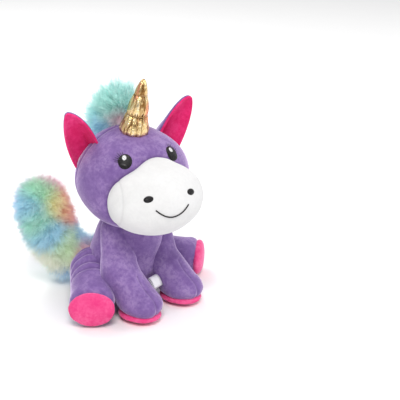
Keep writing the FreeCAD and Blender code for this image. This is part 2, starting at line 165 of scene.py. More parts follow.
class Finish:
    """A material, built node by node; its values are numbers, tuples or wires."""

    def __init__(self, name):
        self.material = bpy.data.materials.new(name)
        self.material.use_nodes = True
        self.tree = self.material.node_tree
        self.shader = self.tree.nodes["Principled BSDF"]

    def add(self, kind, settings, sockets, output=0):
        """A node: its settings are set first, then the values or links of its sockets."""
        node = self.tree.nodes.new(kind)
        for key, value in settings.items():
            setattr(node, key, value)
        for key, value in sockets.items():
            self.fill(node.inputs[key], value)
        return Wire(self, node.outputs[output])

    def fill(self, socket, value):
        if isinstance(value, Wire):
            self.tree.links.new(value.socket, socket)
        elif isinstance(value, tuple) and len(socket.default_value) == 4:
            socket.default_value = (*value, 1.0)
        else:
            socket.default_value = value

    def place(self):
        return self.add("ShaderNodeTexCoord", {}, {}, "Object")

    def laid(self, at=(0, 0, 0), turn=(0, 0, 0), scale=(1, 1, 1)):
        """Object coordinates centred on a place, turned and scaled."""
        return self.add("ShaderNodeMapping", {"vector_type": "TEXTURE"},
                        {"Vector": self.place(), "Location": tuple(at), "Rotation": tuple(turn),
                         "Scale": tuple(scale)})

    def noise(self, scale, detail=2.0, rough=0.5, on=None, twist=0.0):
        return self.add("ShaderNodeTexNoise", {},
                        {"Vector": on or self.place(), "Scale": scale, "Detail": detail,
                         "Roughness": rough, "Distortion": twist})

    def threads(self, scale, twist, on=None):
        """Parallel bands along x, a little uneven."""
        return self.add("ShaderNodeTexWave", {"wave_type": "BANDS", "bands_direction": "X"},
                        {"Vector": on or self.place(), "Scale": scale, "Distortion": twist,
                         "Detail": 2.0})

    def blend(self, first, second, share):
        """Two colours mixed; sockets 6 and 7 and output 2 are the Mix node's colours."""
        return self.add("ShaderNodeMix", {"data_type": "RGBA"},
                        {"Factor": share, 6: first, 7: second}, 2)

    def between(self, value, low, high):
        """Rises smoothly from 0 to 1 as value goes from low to high."""
        return self.add("ShaderNodeMapRange", {"interpolation_type": "SMOOTHSTEP"},
                        {"Value": value, "From Min": low, "From Max": high})

    def attribute(self, name, output="Fac"):
        return self.add("ShaderNodeAttribute", {"attribute_name": name}, {}, output)

    def relief(self, height, strength, depth):
        return self.add("ShaderNodeBump", {},
                        {"Strength": strength, "Distance": depth, "Height": height})

    def surface(self, colour, roughness, **others):
        """Fills the shader; other sockets go by their own names, with _ for a space."""
        self.fill(self.shader.inputs["Base Color"], colour)
        self.fill(self.shader.inputs["Roughness"], roughness)
        for key, value in others.items():
            self.fill(self.shader.inputs[key.replace("_", " ")], value)


def plush(name, shadow, body, shine, sheen, relief=1.0):
    """Short velour pile: patches, streaks and flecks painted between shaded, base and lit copies of
    its colour (painted shade and painted sheen highlight), fine grain, and painted shade along its
    seams.
    """
    cloth = Finish(name)
    nap_sheen_patches = cloth.noise(46.0, detail=5.0, rough=0.62, twist=0.5)
    combed_shade_streaks = cloth.noise(1.0, detail=4.0, on=cloth.laid(turn=(0.5, 0.2, 0.7),
                                                        scale=(0.004, 0.012, 0.006)))
    grain = cloth.noise(1500.0, detail=2.0, rough=0.7)
    shade_and_light_flecks = cloth.noise(330.0, detail=4.0, rough=0.65)
    seam = cloth.attribute("seam")
    # Painted shade and painted highlight: random patches, streaks and flecks mix the shaded, base and
    # lit copies of the colour.
    lie = cloth.between(nap_sheen_patches * 0.40 + combed_shade_streaks * 0.25 + shade_and_light_flecks * 0.35, 0.36, 0.64)
    tone = cloth.blend(shadow, body, lie)
    tone = cloth.blend(tone, shine, cloth.between(nap_sheen_patches * 0.5 + shade_and_light_flecks * 0.5, 0.48, 0.72) * 0.45)
    tone = cloth.blend(tone, shadow, cloth.between(shade_and_light_flecks, 0.52, 0.72) * 0.4)
    # Painted shade in the seam grooves: the crease mark darkens the colour towards a deep copy of the
    # shadow.
    tone = cloth.blend(tone, tuple(c * 0.45 for c in shadow), seam * 0.75)
    height = grain * 0.5 + shade_and_light_flecks * 0.6 + nap_sheen_patches * 0.4 - seam * 0.8
    cloth.surface(tone, cloth.between(grain, 0.2, 0.9) * 0.12 + 0.8,
                  Normal=cloth.relief(height, 0.55 * relief, 0.0006),
                  Sheen_Weight=sheen, Sheen_Roughness=0.38,
                  Sheen_Tint=tuple(min(1.0, c * 1.2 + 0.25) for c in shine),
                  Specular_IOR_Level=0.15)
    return cloth.material


def lame(name, root, lean):
    """Foil knit: long folds painted as bright and dark reflections, painted glints, a ruched foot
    with painted shade in its pleats, and a rosy reflection painted down one side.
    """
    foil = Finish(name)
    turn = tuple(lean.to_euler())
    tall = foil.laid(root, turn, (0.0042, 0.0042, 0.030))
    fold = foil.noise(1.0, detail=2.0, rough=0.55, on=tall, twist=0.9)
    rosy_reflection = foil.noise(0.9, detail=1.0, on=foil.laid(root, turn, (0.007, 0.007, 0.022)), twist=0.5)
    crease = foil.noise(210.0, detail=3.0, rough=0.6, twist=1.6)
    knit = foil.noise(2400.0, detail=1.0)
    # Painted reflections: the long folds swing the foil between dark brown and bright gold, and
    # painted glints lie on top.
    tone = foil.blend((0.30, 0.15, 0.045), (0.94, 0.69, 0.34), foil.between(fold, 0.38, 0.52))
    glint = foil.between(fold * 0.6 + crease * 0.4, 0.55, 0.64)
    tone = foil.blend(tone, (1.0, 0.88, 0.60), glint * 0.8)
    # A rosy reflection painted down one side.
    tone = foil.blend(tone, (0.80, 0.27, 0.16), foil.between(rosy_reflection, 0.55, 0.66) * 0.75)
    # Painted shade in the fine creases.
    tone = foil.blend(tone, (0.08, 0.035, 0.012), foil.between(crease, 0.60, 0.72) * 0.5)
    # Painted shade from the crease mark, under the cords and in the pleats.
    tone = foil.blend(tone, (0.16, 0.07, 0.02), foil.attribute("seam") * 0.8)
    height = crease * 0.5 + fold * 1.2 + knit * 0.04
    foil.surface(tone, foil.between(knit + crease, 0.6, 1.5) * 0.14 + 0.17, Metallic=1.0,
                 Normal=foil.relief(height, 0.8, 0.0014))
    return foil.material


def stitched(name, colour, turn, gloss, shine=0.5):
    """Satin stitch: parallel threads with a soft shine."""
    thread = Finish(name)
    rows = thread.threads(238.74, 1.2, thread.laid(turn=turn))
    uneven = thread.noise(700.0, detail=2.0)
    tone = thread.blend(tuple(c * 0.45 for c in colour), colour, rows * 0.6 + uneven * 0.4)
    thread.surface(tone, thread.between(uneven, 0.2, 0.8) * 0.2 + gloss,
                   Normal=thread.relief(rows, 0.7, 0.0003), Specular_IOR_Level=shine)
    return thread.material


def furry(name):
    """Long synthetic pile: its colour lies on each strand, darker at the root as painted shade, and
    glows faintly in that colour as painted light.
    """
    pile = Finish(name)
    tint = pile.attribute("tint", "Color")
    patch = pile.noise(260.0, detail=3.0)
    tone = pile.blend(tint, (1.0, 1.0, 1.0), pile.between(patch, 0.45, 0.8) * 0.10)
    # Painted light: a faint glow in the strand colour stands in for light through the pile.
    pile.surface(tone, pile.between(patch, 0.2, 0.8) * 0.2 + 0.5, Sheen_Weight=0.5,
                 Sheen_Roughness=0.4, Specular_IOR_Level=0.35, Emission_Color=tint,
                 Emission_Strength=0.13)
    return pile.material


def satin(name):
    """Pale woven ribbon."""
    ribbon = Finish(name)
    weave = ribbon.threads(500.0, 0.6)
    soil = ribbon.noise(160.0, detail=3.0)
    tone = ribbon.blend((0.80, 0.80, 0.83), (0.94, 0.94, 0.96), weave * 0.5 + soil * 0.5)
    ribbon.surface(tone, soil * 0.2 + 0.3, Normal=ribbon.relief(weave, 0.4, 0.0001))
    return ribbon.material


# ---------------------------------------------------------------- working by hand
def take(piece):
    """Selects one piece and nothing else."""
    bpy.ops.object.select_all(action="DESELECT")
    piece.select_set(True)
    bpy.context.view_layer.objects.active = piece


def settle(piece):
    """Puts the piece's place, turn and scale into its mesh."""
    take(piece)
    bpy.ops.object.transform_apply(location=True, rotation=True, scale=True)
    return piece


def finish_with(piece, kind, **settings):
    take(piece)
    step = piece.modifiers.new(kind.lower(), kind)
    for key, value in settings.items():
        setattr(step, key, value)
    bpy.ops.object.modifier_apply(modifier=step.name)


def points_of(piece):
    co = np.empty(len(piece.data.vertices) * 3)
    piece.data.vertices.foreach_get("co", co)
    return co.reshape(-1, 3)


def normals_of(piece):
    out = np.empty(len(piece.data.vertices) * 3, dtype=np.float32)
    piece.data.vertex_normals.foreach_get("vector", out)
    return out.reshape(-1, 3).astype(float)


def move_points(piece, co):
    piece.data.vertices.foreach_set("co", np.ascontiguousarray(co, dtype=np.float32).ravel())
    piece.data.update()


def flatten_under(piece, level):
    """Lays the piece's underside on a level, given in metres."""
    co = points_of(piece)
    co[:, 2] = np.maximum(co[:, 2], level)
    move_points(piece, co)


def bell(value, reach):
    """1 where value is 0, fading to nothing past reach."""
    return np.exp(-((value / reach) ** 2))


def turn_onto(x_way, y_way, z_way):
    """The turn that lays a shape's own axes along three square directions."""
    return Matrix((x_way, y_way, z_way)).transposed().to_quaternion()


def tree_of(piece):
    return BVHTree.FromPolygons([v.co for v in piece.data.vertices],
                                [p.vertices for p in piece.data.polygons])


def merged(name, pieces):
    """Several pieces as one object."""
    bpy.ops.object.select_all(action="DESELECT")
    for one in pieces:
        one.select_set(True)
    bpy.context.view_layer.objects.active = pieces[0]
    bpy.ops.object.join()
    whole = bpy.context.active_object
    whole.name = name
    return whole


def ball(at, radii, turn=NO_TURN):
    """A UV ball at its size and place; radii in millimetres."""
    bpy.ops.object.select_all(action="DESELECT")
    bpy.ops.mesh.primitive_uv_sphere_add(segments=32, ring_count=20, radius=1, location=at)
    one = bpy.context.active_object
    one.scale = Vector(radii) * MM
    one.rotation_mode = "QUATERNION"
    one.rotation_quaternion = turn
    return settle(one)


def joined(name, balls, voxel, smooth):
    """Balls grown together into one closed skin; voxel in millimetres."""
    skin = merged(name, balls)
    skin.data.name = name
    finish_with(skin, "REMESH", mode="VOXEL", voxel_size=voxel * MM)
    finish_with(skin, "SMOOTH", factor=0.5, iterations=smooth)
    return skin


def tube(stations):
    """Balls strung from station to station; a station is (place, radii, turn)."""
    step = 0.35
    balls = []
    for first, second in zip(stations, stations[1:]):
        (a, ra, ta), (b, rb, tb) = first, second
        count = max(2, int((b - a).length / (min(*ra, *rb) * MM * step)))
        for number in range(count):
            share = number / count
            turn = ta.slerp(tb, share)
            balls.append(ball(a.lerp(b, share), Vector(ra).lerp(Vector(rb), share), turn))
    balls.append(ball(*stations[-1]))
    return balls


def held_along(away, reach, hold=0.9):
    """Holds the cloth along a line while it is stuffed; reach in millimetres."""

    def weights(co):
        return bell(away(co), reach * MM) * hold

    return weights


def stuff(piece, cap, held=None):
    """Swells the cloth between its held seams, by up to cap millimetres, and makes it finer."""
    frames = 20
    finish_with(piece, "REMESH", mode="VOXEL", voxel_size=4 * MM)
    rest = points_of(piece)
    group = piece.vertex_groups.new(name="held")
    weights = held(rest) if held else np.zeros(len(rest))
    for number in np.nonzero(weights > 0.02)[0]:
        group.add([int(number)], float(weights[number]), "REPLACE")
    take(piece)
    cloth = piece.modifiers.new("stuffing", "CLOTH")
    cloth.settings.quality = 5
    cloth.settings.mass = 0.15
    cloth.settings.tension_stiffness = 12
    cloth.settings.compression_stiffness = 12
    cloth.settings.bending_stiffness = 0.3
    cloth.settings.use_pressure = True
    cloth.settings.uniform_pressure_force = 4.0
    cloth.settings.effector_weights.gravity = 0
    cloth.settings.vertex_group_mass = "held"
    cloth.point_cache.frame_end = frames
    for number in range(1, frames + 1):
        bpy.context.scene.frame_set(number)
    bpy.ops.object.modifier_apply(modifier=cloth.name)
    bpy.context.scene.frame_set(1)
    move = points_of(piece) - rest
    length = np.linalg.norm(move, axis=1, keepdims=True)
    move *= np.minimum(1, cap * MM / np.maximum(length, 1e-9))
    move_points(piece, rest + move)
    piece.vertex_groups.clear()
    finish_with(piece, "SMOOTH", factor=0.4, iterations=2)
    finish_with(piece, "SUBSURF", levels=2, render_levels=2)
    bpy.ops.object.shade_smooth()
    return piece


def crease_shade_marks(piece):
    """The piece's mask of painted shade along its seams, creases and folds, from 0 to 1."""
    marks = piece.data.attributes.get("seam")
    return marks or piece.data.attributes.new("seam", "FLOAT", "POINT")


def groove(piece, away, depth, width, shade=1.0):
    """Draws the cloth in along a line; away gives each point's distance from it in metres."""
    co = points_of(piece)
    near = bell(away(co), width * MM)
    move_points(piece, co - normals_of(piece) * (near * depth * MM)[:, None])
    # Marks painted shade along the drawn-in line, as strong as shade says.
    marks = crease_shade_marks(piece)
    old = np.empty(len(co), dtype=np.float32)
    marks.data.foreach_get("value", old)
    line = bell(away(co), width * 0.45 * MM) * shade
    marks.data.foreach_set("value", np.maximum(old, line).astype(np.float32))


def plane_seam(point, normal, keep=None):
    """Distance from a flat cut through a piece, kept where keep says so."""
    point, normal = np.array(point), np.array(Vector(normal).normalized())

    def away(co):
        gap = np.abs((co - point) @ normal)
        if keep is not None:
            gap = gap + np.where(keep(co), 0.0, 1.0)
        return gap

    return away


def tuck(piece, other, depth, width, shade=0.7):
    """Draws a piece in where it meets another, as a sewn edge does, and paints shade along it."""
    tree = tree_of(other)

    def away(co):
        return np.array([tree.find_nearest(Vector(p))[3] for p in co])

    groove(piece, away, depth, width, shade)


def ripple(piece, size, depth, seed):
    """Small unevenness of the filling under the skin."""
    co = points_of(piece)
    shift = Vector((seed * 3.1, seed * 1.7, seed * 2.3))
    swell = np.array([noise.noise(Vector(p) / (size * MM) + shift) for p in co])
    move_points(piece, co + normals_of(piece) * (swell * depth * MM)[:, None])


def dress(piece, material, body, nodes=()):
    """Gives a finished piece its finish, its body and the nodes it stands for."""
    piece.data.materials.clear()
    piece.data.materials.append(material)
    crease_shade_marks(piece)
    if body is not None:
        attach(piece, body)
    if nodes:
        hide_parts(*nodes)
    return piece


PURPLE = plush("purple_plush", (0.165, 0.092, 0.285), (0.255, 0.158, 0.395), (0.50, 0.38, 0.60), 1.0)
PINK = plush("hot_pink_plush", (0.66, 0.015, 0.120), (0.80, 0.035, 0.200), (0.90, 0.13, 0.34), 0.35)
# A lit copy of the hot pink cloth for the soles: painted lighter and with more sheen for how the
# light falls on them.
PINK_LIT = plush("hot_pink_plush_lit", (0.76, 0.045, 0.21), (0.84, 0.11, 0.30), (0.95, 0.32, 0.52), 0.6)
WHITE = plush("white_plush", (0.70, 0.70, 0.705), (0.745, 0.745, 0.75), (0.77, 0.77, 0.77), 0.1, 0.35)
set_up_studio()


# ---------------------------------------------------------------- torso
def make_torso():
    neck = pivots["neck_turn"]
    seat_low, seat_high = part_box("seat_panel")
    wide = (seat_high[0] - seat_low[0]) / 2 / MM
    balls = [
        ball((0, 0.009, 0.040), (37.5, 34, 40)),
        ball((0, 0.006, 0.062), (33, 29, 32)),
        ball((neck.x, neck.y, neck.z + 0.004), (27.5, 26, 24)),
        ball((0, 0.012, 0.024), (wide + 8, 30, 23)),
        ball((-0.001, -0.006, 0.068), (29, 24.5, 33)),
    ]
    torso = joined("torso_skin", balls, voxel=3.0, smooth=10)
    seat, bib, bib_slope = 0.0045, 0.0185, -0.28
    spine = plane_seam((0, 0, 0), (1, 0, 0), lambda co: co[:, 1] > 0.01)
    stuff(torso, 2.0, held_along(spine, 4.0))
    co = points_of(torso)
    pressed = 0.0006 + 0.12 * np.maximum(co[:, 2], 0)
    co[:, 2] = np.where(co[:, 2] < seat, pressed, co[:, 2])
    move_points(torso, co)
    groove(torso, spine, 1.5, 2.2)
    groove(torso, plane_seam((0, 0, 0.007), (0, 0, 1)), 1.0, 1.8)
    for side in (-1, 1):
        groove(torso, plane_seam((side * bib, 0, 0.03), (side, 0, bib_slope),
                                 lambda co: co[:, 1] < -0.006), 1.3, 2.0)
    ripple(torso, 19, 0.7, 1)
    dress(torso, PURPLE, "torso",
          ("seat_panel", "belly_panel", "torso_panel_left", "torso_panel_right",
           "torso_stuffing", "seat_bean_bag"))
    return torso


# ---------------------------------------------------------------- head and muzzle
def make_head():
    turn = head_turn.to_quaternion()
    head = joined("head_skin", [
        ball(in_head(0, -4, 124), (55, 49, 46), turn),
        ball(in_head(0, -14, 112), (51, 40, 34), turn),
        ball(in_head(0, 2, 134), (46, 42, 38), turn),
    ], voxel=3.0, smooth=10)
    ridge = in_head(0, 6, 0)
    crown = plane_seam(ridge, HEAD_BACK)
    back = plane_seam((0, 0, 0), HEAD_LEFT,
                      lambda co: (co - np.array(ridge)) @ np.array(HEAD_BACK) > 0)
    stuff(head, 2.0, held_along(crown, 4.0))
    groove(head, crown, 1.0, 1.9)
    groove(head, back, 1.0, 1.9)
    ripple(head, 26, 0.9, 2)
    muzzle = joined("muzzle_skin", [
        ball(in_head(1.5, -46, 114.5), (46.5, 36, 33.5), turn),
        ball(in_head(3, -38, 130), (26, 25, 23), turn),
        ball(in_head(1, -40, 109.5), (44, 33, 29), turn),
    ], voxel=3.0, smooth=9)
    stuff(muzzle, 1.2)
    for side in (-1, 1):
        cheek = plane_seam(in_head(side * 37, -50, 110),
                           head_turn @ Vector((1, side * 0.25, side * 0.08)))
        groove(muzzle, cheek, 0.35, 1.5, shade=0.22)
    ripple(muzzle, 24, 0.5, 3)
    tuck(head, muzzle, 1.5, 2.2)
    tuck(muzzle, head, 1.2, 1.8, shade=0.25)
    dress(head, PURPLE, "head",
          ("face_panel", "head_back_left", "head_back_right", "head_stuffing"))
    dress(muzzle, WHITE, "head", ("muzzle_panel",))
    return head, muzzle


def on_skin(tree, at, toward):
    """Where a line from outside, through a place, meets the skin, and the skin's normal there."""
    start = at - toward * 0.04
    spot, normal, _, _ = tree.ray_cast(start, toward)
    return spot, normal


def pad_on_skin(name, tree, at, toward, wide, tall, thick, roll=0.0):
    """A low domed oval of stitching, laid on the skin."""
    spot, normal = on_skin(tree, at, toward)
    level = UP.cross(normal).normalized()
    upright = normal.cross(level)
    turn = turn_onto(level, upright, normal) @ Quaternion((0, 0, 1), roll)
    bpy.ops.object.select_all(action="DESELECT")
    bpy.ops.mesh.primitive_uv_sphere_add(segments=64, ring_count=32, radius=1, location=spot)
    pad = bpy.context.active_object
    pad.name = name
    pad.rotation_mode = "QUATERNION"
    pad.rotation_quaternion = turn
    pad.scale = (wide * MM, tall * MM, thick * MM)
    settle(pad)
    co = points_of(pad)
    for number, point in enumerate(co):
        flat = Vector(point) - normal * ((Vector(point) - spot).dot(normal))
        hit = tree.ray_cast(flat + normal * 0.02, -normal)[0]
        if hit is not None:
            co[number] += np.array(normal * ((hit - flat).dot(normal)))
    move_points(pad, co)
    bpy.ops.object.shade_smooth()
    return pad, spot, normal, level, upright


def thread_along(name, points, radius, taper=True):
    """A round thread through some points, made a mesh."""
    data = bpy.data.curves.new(name, "CURVE")
    data.dimensions = "3D"
    line = data.splines.new("NURBS")
    line.points.add(len(points) - 1)
    for number, point in enumerate(points):
        share = number / (len(points) - 1)
        line.points[number].co = (*point, 1)
        line.points[number].radius = max(0.12, 1 - share * 0.85) if taper else 1
    line.order_u = 3
    line.use_endpoint_u = True
    line.resolution_u = 6
    data.bevel_depth = radius * MM
    data.bevel_resolution = 3
    data.use_fill_caps = True
    thread = bpy.data.objects.new(name, data)
    bpy.context.scene.collection.objects.link(thread)
    take(thread)
    bpy.ops.object.convert(target="MESH")
    thread = bpy.context.active_object
    bpy.ops.object.shade_smooth()
    return thread


def make_eye(word, side, tree, black, white):
    """The eye's oval, its shine and the lashes round its outer edge."""
    inward = (HEAD_BACK - head_turn @ Vector((side * 0.45, 0, 0.45))).normalized()
    eye, spot, normal, level, upright = pad_on_skin(
        f"eye_{word}_stitches", tree, middle(f"eye_{word}"), inward, 6.3, 7.2, 1.5, side * 0.12)
    dress(eye, black, "head", (f"eye_{word}",))
    shine_at = spot + upright * 0.0030 - level * 0.0006 + normal * 0.0012
    shine = ball(shine_at, (1.9, 2.5, 0.75), turn_onto(level, upright, normal))
    shine.name = f"eye_shine_{word}"
    bpy.ops.object.shade_smooth()
    dress(shine, white, "head", (f"eye_glint_{word}",))
    lashes = []
    for number in range(7):
        angle = math.radians(90 - side * (14 + 13 * number))
        way = level * math.cos(angle) + upright * math.sin(angle)
        start = spot + way * 0.0058
        long = 0.0040 + 0.0007 * (number % 3)
        drawn = []
        for share in (0, 0.35, 0.7, 1):
            step = start + way * long * share + upright * (0.0006 * share * share)
            hit = tree.ray_cast(step + normal * 0.02, -normal)[0]
            drawn.append((hit or step) + normal * 0.0003)
        lashes.append(thread_along(f"lash_{word}_{number}", drawn, 0.36))
    group = merged(f"eyelash_stitches_{word}", lashes)
    dress(group, black, "head", (f"eyelashes_{word}",))


def make_smile(tree, black):
    """A thread laid on the muzzle in a shallow curve."""
    low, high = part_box("smile_thread")
    centre = head_turn.inverted() @ middle("smile_thread")
    drop = (high[2] - low[2]) / 2
    half_wide = 0.0160
    run = []
    for number in range(17):
        share = number / 8 - 1
        z = centre.z + drop * 0.9 * (2.0 * share**2 - 0.95) - 0.0003
        at = head_turn @ Vector((share * half_wide, centre.y, z))
        hit, normal = on_skin(tree, at, HEAD_BACK)
        run.append(hit + normal * 0.0003)
    smile = thread_along("smile_stitches", run, 0.62, taper=False)
    dress(smile, black, "head", ("smile_thread",))


def make_face(head, muzzle):
    face_tree, snout_tree = tree_of(head), tree_of(muzzle)
    black = stitched("black_stitches", (0.010, 0.009, 0.011), (0, 0, 0.6), 0.3, shine=0.3)
    white = stitched("white_stitches", (0.93, 0.93, 0.95), (0, 0, 0.2), 0.35)
    for word, side in SIDES:
        make_eye(word, side, face_tree, black, white)
        nostril = pad_on_skin(f"nostril_{word}_stitches", snout_tree, middle(f"nostril_{word}"),
                              HEAD_BACK, 4.4, 2.9, 1.3, side * -0.2)[0]
        dress(nostril, black, "head", (f"nostril_{word}",))
    make_smile(snout_tree, black)


# ---------------------------------------------------------------- horn
def horn_lean():
    """The way the horn stands on the head, from its pivot to the cord near its tip."""
    up_it = (middle("horn_tie_upper") - pivots["horn_bend"]).normalized()
    return UP.rotation_difference(up_it)


def make_horn():
    root = pivots["horn_bend"]
    lean = horn_lean()
    outline = [(0.5, -9), (12.0, -6.0), (13.6, -1.5), (13.4, 1.0), (12.4, 5.0), (11.0, 9.0),
               (9.6, 12.2), (8.5, 14.0), (9.4, 15.8), (9.7, 19.0), (9.0, 23.0), (7.9, 27.5),
               (6.5, 31.0), (5.3, 33.0), (5.7, 34.5), (5.2, 38.0), (4.0, 42.0), (2.7, 45.0),
               (1.5, 46.8), (0.3, 47.3)]
    bpy.ops.object.select_all(action="DESELECT")
    bpy.ops.mesh.primitive_circle_add(vertices=96, radius=outline[0][0] * MM, fill_type="NGON",
                                      location=(0, 0, outline[0][1] * MM))
    horn = bpy.context.active_object
    horn.name = "horn_skin"
    bpy.ops.object.mode_set(mode="EDIT")
    for before, after in zip(outline, outline[1:]):
        bpy.ops.mesh.extrude_region_move(
            TRANSFORM_OT_translate={"value": (0, 0, (after[1] - before[1]) * MM)})
        grow = after[0] / before[0]
        bpy.ops.transform.resize(value=(grow, grow, 1), center_override=(0, 0, 0))
    bpy.ops.object.mode_set(mode="OBJECT")
    settle(horn)
    finish_with(horn, "SUBSURF", levels=1, render_levels=1)
    co = points_of(horn)
    z = co[:, 2] / MM
    around = np.arctan2(co[:, 1], co[:, 0])
    gather = np.exp(-np.abs(z - 13.6) / 4.6)
    upper = np.exp(-np.abs(z - 33.2) / 2.6)
    gather_band = bell(z - 12.8, 3.4)
    pleat = np.sin(around * 21 + 1.3 * np.sin(around * 3) + z * 0.25)
    wave = pleat * (0.75 * gather_band + 0.24 * upper)
    wave += np.sin(around * 11 + z * 0.35 + 2 * np.sin(around * 2)) * 0.35 * gather
    long_fold = np.sin(around * 4 + 0.9 * np.sin(z / 6)) * 0.28 * np.clip((z - 14) / 6, 0, 1)
    long_fold *= np.clip((47 - z) / 12, 0, 1)
    skirt = np.sin(around * 9 + z * 0.3) * 0.35 * np.clip((12 - z) / 12, 0, 1)
    radius = np.hypot(co[:, 0], co[:, 1])
    swell = 1 + (wave + long_fold + skirt) * MM / np.maximum(radius, 0.004)
    co[:, 0] *= swell
    co[:, 1] *= swell
    # Painted shade: darker bands under both cords and in the hollows of the pleats, kept in the
    # crease mark.
    marks = crease_shade_marks(horn)
    fold_shade = bell(z - 13.8, 0.9) + 0.8 * bell(z - 33.0, 0.7)
    fold_shade += np.clip(-pleat - 0.2, 0, 1) * (gather_band + 0.5 * upper) * 0.9
    marks.data.foreach_set("value", np.clip(fold_shade, 0, 1).astype(np.float32))
    move_points(horn, co @ np.array(lean.to_matrix()).T + np.array(root))
    take(horn)
    bpy.ops.object.shade_smooth()
    dress(horn, lame("gold_foil_cloth", root, lean), "horn",
          ("horn_cover", "horn_stuffing"))
    cord_finish = stitched("gold_cord", (0.62, 0.36, 0.13), (0, 0, 0), 0.3)
    for word, height, wide in (("lower", 13.9, 8.7), ("upper", 33.1, 5.5)):
        bpy.ops.object.select_all(action="DESELECT")
        spot = root + lean @ Vector((0, 0, height * MM))
        bpy.ops.mesh.primitive_torus_add(major_segments=72, minor_segments=10, location=spot,
                                         rotation=lean.to_euler(), major_radius=wide * MM,
                                         minor_radius=0.45 * MM)
        ring = bpy.context.active_object
        ring.name = f"horn_cord_{word}"
        settle(ring)
        bpy.ops.object.shade_smooth()
        dress(ring, cord_finish, "horn", (f"horn_tie_{word}",))


# ---------------------------------------------------------------- ears
# side, how round the leaf is, degrees turned outward, lean inward and shift along the hinge
EAR_SHAPES = {"left": (1, 0.60, 10, 16, 1.5), "right": (-1, 0.74, 24, 21, 0)}


def ear_sheet(name, word, tall, forward, thick):
    """A cupped leaf on the ear's own axes, from a plane cut into a grid; sizes in millimetres."""
    side, rounding, outward_turn, inward_lean, shift = EAR_SHAPES[word]
    wide, cup = 44.0, 1.1
    root = pivots[f"ear_{word}_flop"]
    along = axes[f"ear_{word}_flop"].normalized()
    front = -HEAD_BACK
    outward = along.cross(front) * (1 if along.cross(front).z > 0 else -1)
    bpy.ops.object.select_all(action="DESELECT")
    bpy.ops.mesh.primitive_grid_add(x_subdivisions=24, y_subdivisions=28, size=2)
    leaf = bpy.context.active_object
    leaf.name = name
    co = points_of(leaf)
    u, v = co[:, 0].copy(), (co[:, 1].copy() + 1) / 2
    half = wide / 2 * (1 - v**2.2) ** rounding * (1 - 0.20 * v)
    half = np.maximum(half, 0.8)
    bow = 0.35 + cup * (1 - v) ** 0.6
    across, deep = half * np.sin(u * bow) / bow, half * (np.cos(u * bow) - np.cos(bow)) / bow
    face = -side * math.radians(outward_turn)
    fold = 4.0 * bell(u + 0.35 * side, 0.16) * bell(v - 0.1, 0.28)
    x = across * math.cos(face) + (deep + forward) * math.sin(face)
    x += shift - side * inward_lean * v
    y = (deep + forward + fold) * math.cos(face) - across * math.sin(face)
    z = -4 + (tall + 4) * v
    place = [root + along * (a * MM) + outward * (b * MM) - front * (c * MM)
             for a, b, c in zip(x, z, y)]
    move_points(leaf, np.array([tuple(p) for p in place]))
    finish_with(leaf, "SOLIDIFY", thickness=thick * MM, offset=0.0)
    finish_with(leaf, "SUBSURF", levels=1, render_levels=1)
    take(leaf)
    bpy.ops.object.mode_set(mode="EDIT")
    bpy.ops.mesh.select_all(action="SELECT")
    bpy.ops.mesh.normals_make_consistent(inside=False)
    bpy.ops.object.mode_set(mode="OBJECT")
    bpy.ops.object.shade_smooth()
    return leaf


def make_ears():
    for word, tall in (("left", 43.5), ("right", 38.5)):
        back = ear_sheet(f"ear_{word}_back", word, tall, 1.0, 2.2)
        dress(back, PURPLE, f"ear_{word}", (f"ear_back_{word}",))
        lining = ear_sheet(f"ear_{word}_lining", word, tall + 0.1, -0.9, 1.9)
        dress(lining, PINK, f"ear_{word}", (f"ear_lining_{word}",))


# ---------------------------------------------------------------- legs
def make_front_legs():
    for word, side in SIDES:
        shoulder = pivots[f"front_leg_{word}_swing"]
        sole = middle(f"front_leg_sole_{word}")
        sole_aside, knee_aside = (-0.001, -0.004) if side > 0 else (-0.003, -0.006)
        sole += Vector((sole_aside, 0.003, 0))
        ankle = sole + Vector((0, 0.005, 0.021))
        knee = shoulder.lerp(ankle, 0.52) + Vector((knee_aside, 0.0055, 0))
        way = (ankle - shoulder).normalized()
        lean = UP.rotation_difference(-way)
        stations = [
            (shoulder + Vector((side * 0.001, 0.008, 0.020)), (13.5, 13, 14), lean),
            (shoulder + Vector((side * 0.001, 0.002, 0)), (17.0, 16.5, 16), lean),
            (knee, (19.0, 18.0, 16), lean),
            (knee.lerp(ankle, 0.55), (19.0, 17.8, 15), lean),
            (ankle, (19.0, 18.0, 16), NO_TURN),
        ]
        balls = tube(stations)
        balls.append(ball(sole + Vector((0, -0.001, 0.0150)), (20.8, 22.5, 14.0)))
        balls.append(ball(sole + Vector((0, -0.006, 0.0145)), (19.6, 21.5, 13.5)))
        leg = joined(f"front_leg_{word}_skin", balls, voxel=3.0, smooth=6)
        front = plane_seam(ankle, (1, 0, 0), lambda co: (co[:, 1] < sole.y) & (co[:, 2] < 0.05))
        stuff(leg, 2.0, held_along(front, 3.5))
        flatten_under(leg, 0.0042)
        groove(leg, front, 1.1, 2.2, shade=0.45)
        ripple(leg, 16, 0.9, 4 + side)
        dress(leg, PURPLE, None,
              (f"front_leg_outer_panel_{word}", f"front_leg_inner_panel_{word}",
               f"front_leg_stuffing_{word}"))
        shoulder + way * 0.012
        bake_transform(leg)
        pad = joined(f"front_leg_{word}_sole_cloth", [
            ball(sole + Vector((0, -0.001, 0.0042)), (18.6, 20.2, 5.6)),
            ball(sole + Vector((0, -0.005, 0.0042)), (17.4, 20.0, 5.4)),
        ], voxel=1.6, smooth=5)
        finish_with(pad, "SUBSURF", levels=1, render_levels=1)
        flatten_under(pad, 0.0004)
        bpy.ops.object.shade_smooth()
        dress(pad, PINK_LIT, f"front_leg_{word}", (f"front_leg_sole_{word}",))


